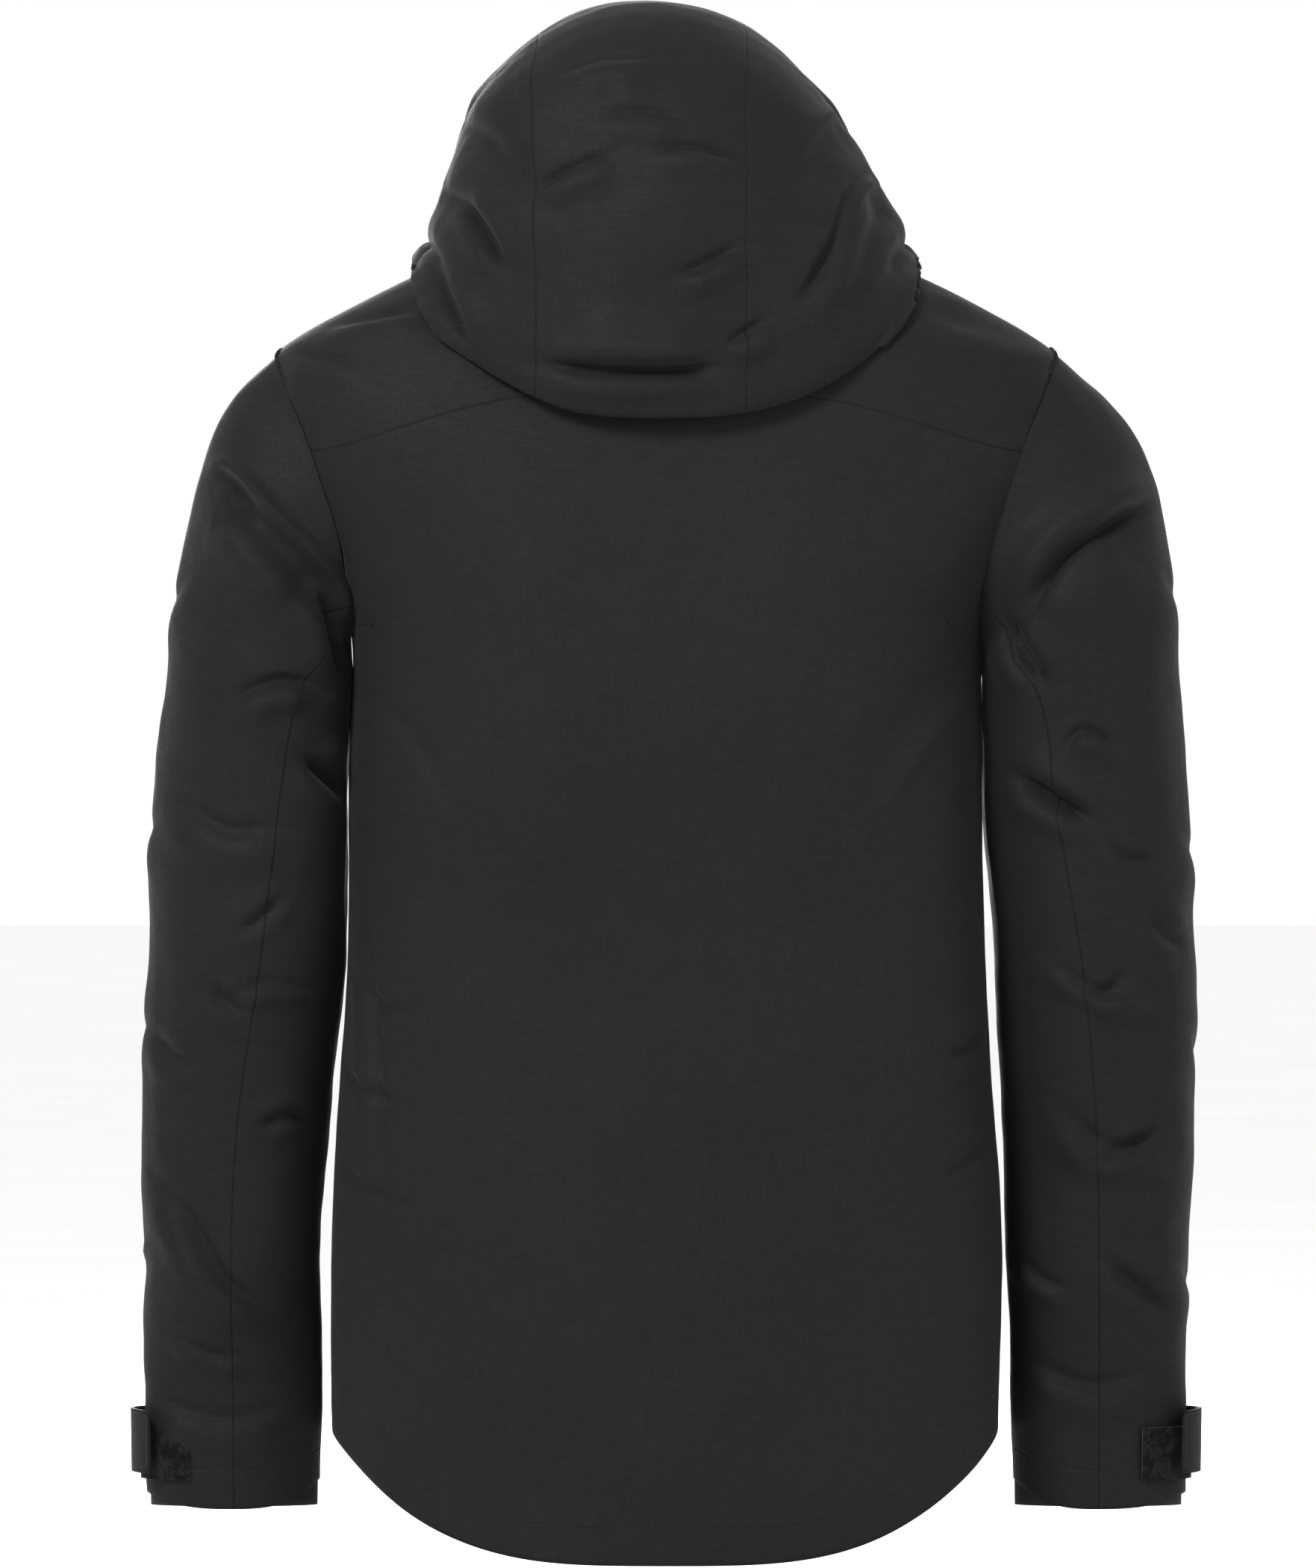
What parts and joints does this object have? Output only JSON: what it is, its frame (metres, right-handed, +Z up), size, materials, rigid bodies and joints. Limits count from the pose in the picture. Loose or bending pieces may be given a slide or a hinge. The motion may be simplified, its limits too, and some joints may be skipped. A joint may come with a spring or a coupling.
{
  "type": "hardshell jacket",
  "caption": "Men's hooded waterproof shell jacket with a full front zip, zipped pockets, a structured hood and cuff tabs.",
  "frame": {"origin": "where the hanger loop is sewn in at the centre back neck", "axes": "+Z up, front faces -Y, the wearer's left is +X"},
  "size_m": [0.6438, 0.2887, 0.928],
  "materials": {
    "shell_fabric": "matte, smooth woven face with a fine ripstop weave",
    "brushed_tricot": "soft brushed knit",
    "binding": "matte woven tape",
    "webbing": "ribbed woven tape",
    "label_satin": "blank satin ribbon",
    "loop_pile": "deep black looped pile",
    "hook_tape": "field of small moulded hooks",
    "zip_tape": "laminated woven tape",
    "zip_coil": "moulded nylon coil",
    "zip_metal": "satin black die casting"
  },
  "bodies": {
    "jacket": {"back_panel": "shell_fabric", "back_yoke": "shell_fabric", "care_label": "label_satin", "chest_pocket_bag": "brushed_tricot", "chest_zip_coils": "zip_coil", "chest_zip_tapes": "zip_tape", "collar": "shell_fabric", "collar_lining": "brushed_tricot", "front_panel_left": "shell_fabric", "front_panel_right": "shell_fabric", "front_yoke_left": "shell_fabric", "front_yoke_right": "shell_fabric", "front_zip_coils": "zip_coil", "front_zip_stops": "zip_metal", "front_zip_tape_left": "zip_tape", "front_zip_tape_right": "zip_tape", "hand_pocket_bag_left": "brushed_tricot", "hand_pocket_bag_right": "brushed_tricot", "hand_zip_coils_left": "zip_coil", "hand_zip_coils_right": "zip_coil", "hand_zip_tapes_left": "zip_tape", "hand_zip_tapes_right": "zip_tape", "hanger_loop": "webbing", "hem_facing": "binding", "hood_base": "shell_fabric", "hood_panel_centre": "shell_fabric", "hood_panel_side_left": "shell_fabric", "hood_panel_side_right": "shell_fabric", "storm_flap": "shell_fabric"},
    "hood": {"hood_visor": "shell_fabric", "hood_binding": "binding"},
    "sleeve_left": {"sleeve_outer_left": "shell_fabric", "sleeve_under_left": "shell_fabric", "cuff_facing_left": "binding", "cuff_loop_patch_left": "loop_pile"},
    "cuff_tab_left": {"cuff_tab_left": "shell_fabric", "cuff_hook_patch_left": "hook_tape"},
    "sleeve_right": {"sleeve_outer_right": "shell_fabric", "sleeve_under_right": "shell_fabric", "cuff_facing_right": "binding", "cuff_loop_patch_right": "loop_pile"},
    "cuff_tab_right": {"cuff_tab_right": "shell_fabric", "cuff_hook_patch_right": "hook_tape"},
    "front_slider": {"front_zip_slider": "zip_metal"},
    "front_puller": {"front_zip_puller": "zip_metal"},
    "chest_slider": {"chest_zip_slider": "zip_metal"},
    "chest_puller": {"chest_zip_puller": "zip_metal"},
    "hand_slider_left": {"hand_zip_slider_left": "zip_metal"},
    "hand_puller_left": {"hand_zip_puller_left": "zip_metal"},
    "hand_slider_right": {"hand_zip_slider_right": "zip_metal"},
    "hand_puller_right": {"hand_zip_puller_right": "zip_metal"}
  },
  "joints": [
    {"name": "hood_fold", "type": "hinge", "parent": "jacket", "child": "hood", "pos_m": [0, -0.0852, -0.01], "axis": [-1, 0, 0], "range_deg": [0, 118], "deforming": ["hood_panel_centre", "hood_panel_side_left", "hood_panel_side_right"]},
    {"name": "shoulder_lift_left", "type": "hinge", "parent": "jacket", "child": "sleeve_left", "pos_m": [0.241, -0.0652, -0.06], "axis": [0, -1, 0], "range_deg": [0, 60]},
    {"name": "cuff_tab_peel_left", "type": "hinge", "parent": "sleeve_left", "child": "cuff_tab_left", "pos_m": [0.25172, -0.12863, -0.71523], "axis": [0, 0, -1], "range_deg": [0, 100]},
    {"name": "shoulder_lift_right", "type": "hinge", "parent": "jacket", "child": "sleeve_right", "pos_m": [-0.241, -0.0652, -0.06], "axis": [0, 1, 0], "range_deg": [0, 60]},
    {"name": "cuff_tab_peel_right", "type": "hinge", "parent": "sleeve_right", "child": "cuff_tab_right", "pos_m": [-0.25172, -0.12863, -0.71523], "axis": [0, 0, 1], "range_deg": [0, 100]},
    {"name": "front_zip_travel", "type": "slide", "parent": "jacket", "child": "front_slider", "axis": [0, -0.0778, -0.997], "range_m": [0, 0.6751]},
    {"name": "front_puller_swing", "type": "hinge", "parent": "front_slider", "child": "front_puller", "pos_m": [0, -0.16133, -0.02784], "axis": [-1, 0, 0], "range_deg": [0, 160]},
    {"name": "chest_zip_travel", "type": "slide", "parent": "jacket", "child": "chest_slider", "axis": [0, -0.0746, -0.9972], "range_m": [0, 0.1241]},
    {"name": "chest_puller_swing", "type": "hinge", "parent": "chest_slider", "child": "chest_puller", "pos_m": [0.07211, -0.17262, -0.24093], "axis": [-0.9869, -0.1607, 0.012], "range_deg": [0, 160]},
    {"name": "hand_zip_travel_left", "type": "slide", "parent": "jacket", "child": "hand_slider_left", "axis": [0, -0.0818, -0.9967], "range_m": [0, 0.1493]},
    {"name": "hand_puller_swing_left", "type": "hinge", "parent": "hand_slider_left", "child": "hand_puller_left", "pos_m": [0.11223, -0.17694, -0.43093], "axis": [-0.9449, -0.3264, 0.0268], "range_deg": [0, 160]},
    {"name": "hand_zip_travel_right", "type": "slide", "parent": "jacket", "child": "hand_slider_right", "axis": [0, -0.0818, -0.9967], "range_m": [0, 0.1493]},
    {"name": "hand_puller_swing_right", "type": "hinge", "parent": "hand_slider_right", "child": "hand_puller_right", "pos_m": [-0.11223, -0.17694, -0.43093], "axis": [-0.9449, 0.3264, -0.0268], "range_deg": [0, 160]}
  ]
}
